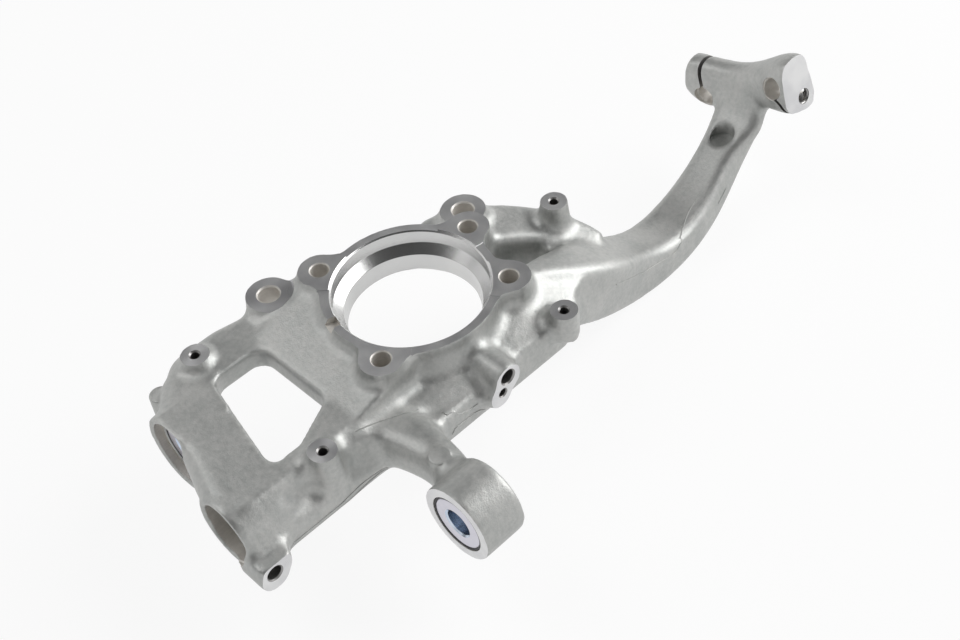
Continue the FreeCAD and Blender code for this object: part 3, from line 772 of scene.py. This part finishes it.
# %% Cutter marks in the UV map
SENSOR_FACE = 17
EYE_FACE = 24
HEAD_FACE = 25
CUTTERS = [
    # centre, axis, radius
    (mm(0, 0, 0), UP, FLANGE_MILL), *((boss, UP, BOSS_MILL) for boss in BOSSES),
    *((ear, UP, EAR_MILL) for ear in EARS), (SENSOR, TO_NEAR, SENSOR_FACE), (LUG, TO_NEAR, LUG_MILL),
    (EYE, TO_NOSE, EYE_FACE), (EYE_BACK, -TO_NOSE, EYE_FACE), (HEAD_END, HEAD_END_NORMAL, HEAD_FACE),
    (HEAD_FAR, -TO_NEAR, HEAD_FACE),
]


def distance_to(cutter, point):
    """How far a point is from a cutter's face."""
    centre, axis, radius = cutter
    along = (point - centre).dot(axis)
    return abs(along) + max(0, ((point - centre) - along * axis).length - radius * MM)


casting.data.uv_layers.new(name="cutter_marks")
marked = bmesh.new()
marked.from_mesh(casting.data)
layer = marked.loops.layers.uv.verify()
milled = [face for face in marked.faces if face.material_index == casting.data.materials.find("milled_face")]
for face in milled:
    middle = face.calc_center_median()
    centre, axis, _ = min(CUTTERS, key=lambda cutter: distance_to(cutter, middle))
    seen_along_axis = facing(centre, axis).inverted()
    for loop in face.loops:
        loop[layer].uv = (seen_along_axis @ loop.vert.co).xy
marked.to_mesh(casting.data)
marked.free()
print("milled faces:", len(milled))

# %% [markdown]
# Smooth shading hides the facets of the skin, but it must stop at real edges. An edge is sharp where it is
# steep, and also where two finishes meet, because a cutter always leaves a crisp border.

# %% Sharp borders between the finishes
CASTING_SHARP = math.radians(38)

mesh = casting.data
mesh.shade_smooth()
mesh.set_sharp_from_angle(angle=CASTING_SHARP)
finished = bmesh.new()
finished.from_mesh(mesh)
for edge in finished.edges:
    if len({face.material_index for face in edge.link_faces}) == 2:
        edge.smooth = False
finished.to_mesh(mesh)
finished.free()
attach(casting, "root")
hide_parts("knuckle_casting")
print("casting:", len(mesh.polygons), "faces,", [material.name for material in mesh.materials])

# %% [markdown]
# ## Steel sleeves
# A tapered ball stud would wear out an aluminium hole, so a zinc-plated steel sleeve is pressed into each joint
# seat, with a rubber ring around its mouth. Both are turned parts, so each is one closed outline spun about its
# axis. The heights are measured from the mouth and run inwards, so they are negative.

# %% Sleeves and rings
SLEEVE_OUTLINE = [(9.2, -0.6), (8.2, -1.6), (8.2, -26), (16, -26), (16, -4.4), (16, -0.9), (15.6, -0.6)]
RING_OUTLINE = [(16.0, -0.7), (16.4, -0.35), (17.1, -0.35), (17.5, -0.7), (17.5, -4), (16.0, -4)]
ZINC_REACH = 9.0 * MM
TURNED_SHARP = math.radians(35)


def turned_piece(name, node, mouth, outline, material):
    """A piece of revolution around a mouth that faces the nose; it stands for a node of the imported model."""
    bm = turned(outline, mouth, TO_NOSE, segments=96, closed=True)
    bmesh.ops.recalc_face_normals(bm, faces=bm.faces)
    piece = mesh_object(name, bm, material)
    piece.data.shade_smooth()
    piece.data.set_sharp_from_angle(angle=TURNED_SHARP)
    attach(piece, "root")
    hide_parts(node)
    return piece


for joint, mouth in (("steering_arm", EYE), ("lower_joint", SLEEVE)):
    sleeve = turned_piece(joint + "_sleeve_dressed", joint + "_sleeve", mouth, SLEEVE_OUTLINE,
                          steel_face)
    sleeve.data.materials.append(zinc_bore)
    for face in sleeve.data.polygons:
        off_axis = (face.center - mouth) - (face.center - mouth).dot(TO_NOSE) * TO_NOSE
        face.material_index = int(off_axis.length < ZINC_REACH)
    turned_piece(joint + "_ring_dressed", joint + "_seal_ring", mouth, RING_OUTLINE,
                 seal_rubber)
    print(joint, "sleeve and ring stand at", in_mm(*mouth))

# %% [markdown]
# ## Floor and light
# A pale floor and a white world keep the picture plain. The camera and mirror-like metal see pure white around
# the knuckle, while the light that falls on it comes from large soft lamps, so that its greys stay greys. Light
# Path nodes tell the two kinds of ray apart.

# %% Floor
FLOOR_Z = cad_low.z
FLOOR_RADIUS = 6.0
FLOOR_GLOW = 0.9


def seen_directly(tree):
    """1 for a ray from the camera, a mirror or glass, and 0 for light that falls on something."""
    rays = tree.nodes.new("ShaderNodeLightPath")
    names = ("Is Camera Ray", "Is Glossy Ray", "Is Transmission Ray")
    camera_ray, glossy_ray, glass_ray = (Sock(tree, rays.outputs[name]) for name in names)
    return (camera_ray + glossy_ray + glass_ray).maths("MINIMUM", 1.0)


pale_floor, shader, _ = new_material("pale_floor", 0.0, 0.8)
shader.inputs["Specular IOR Level"].default_value = 0.1
shader.inputs["Base Color"].default_value = (0.9, 0.9, 0.9, 1)
tree = pale_floor.node_tree
glow = tree.nodes.new("ShaderNodeEmission")
blend = tree.nodes.new("ShaderNodeMixShader")
(seen_directly(tree) * FLOOR_GLOW).feed(blend.inputs[0])
tree.links.new(shader.outputs[0], blend.inputs[1])
tree.links.new(glow.outputs[0], blend.inputs[2])
tree.links.new(blend.outputs[0], tree.nodes["Material Output"].inputs["Surface"])

disc = bmesh.new()
bmesh.ops.create_circle(disc, cap_ends=True, segments=96, radius=FLOOR_RADIUS,
                        matrix=Matrix.Translation((0, 0, FLOOR_Z)))
floor = mesh_object("floor", disc, pale_floor)
print("floor at", *in_mm(FLOOR_Z), "mm")

# %% [markdown]
# A studio is white all round but dark overhead, where the ceiling is. The world does the same by the height of
# a ray's direction, so faces that point up mirror the ceiling and turn mid-grey, and side faces stay bright.

# %% World
WORLD_LIGHT = 0.14
CEILING_DARK = 0.92

world = bpy.data.worlds.new("white_world")
bpy.context.scene.world = world
world.use_nodes = True
tree = world.node_tree
walls = 1 - coordinates(tree, "Generated").height().steep(0.3, 0.6) * CEILING_DARK
strength = seen_directly(tree) * (walls - WORLD_LIGHT) + WORLD_LIGHT
strength.feed(tree.nodes["Background"].inputs["Strength"])
tree.nodes["Background"].inputs["Color"].default_value = (1, 1, 1, 1)
bpy.context.scene.view_settings.view_transform = "Standard"
print("light of the world:", WORLD_LIGHT)

# %% [markdown]
# Two square lamps do the lighting. The large key lamp stands beyond the head, a little to the near side, and
# draws long soft highlights. The weaker rim lamp hangs over the far side of the nose and opens up the shadows.

# %% Lamps
LAMP_TARGET = Vector((0.05, 0, 0))


def soft_lamp(name, spot, side, power):
    """A square area lamp that faces the middle of the part."""
    data = bpy.data.lights.new(name, "AREA")
    data.size = side
    data.energy = power
    lamp = bpy.data.objects.new(name, data)
    lamp.matrix_world = facing(spot, spot - LAMP_TARGET)
    bpy.context.scene.collection.objects.link(lamp)
    print(name, "gives", power, "W")


soft_lamp("key_lamp", Vector((1.5, -0.65, 1.15)), 1.5, 34)
soft_lamp("rim_lamp", Vector((-0.55, 0.85, 1.5)), 1.2, 10)
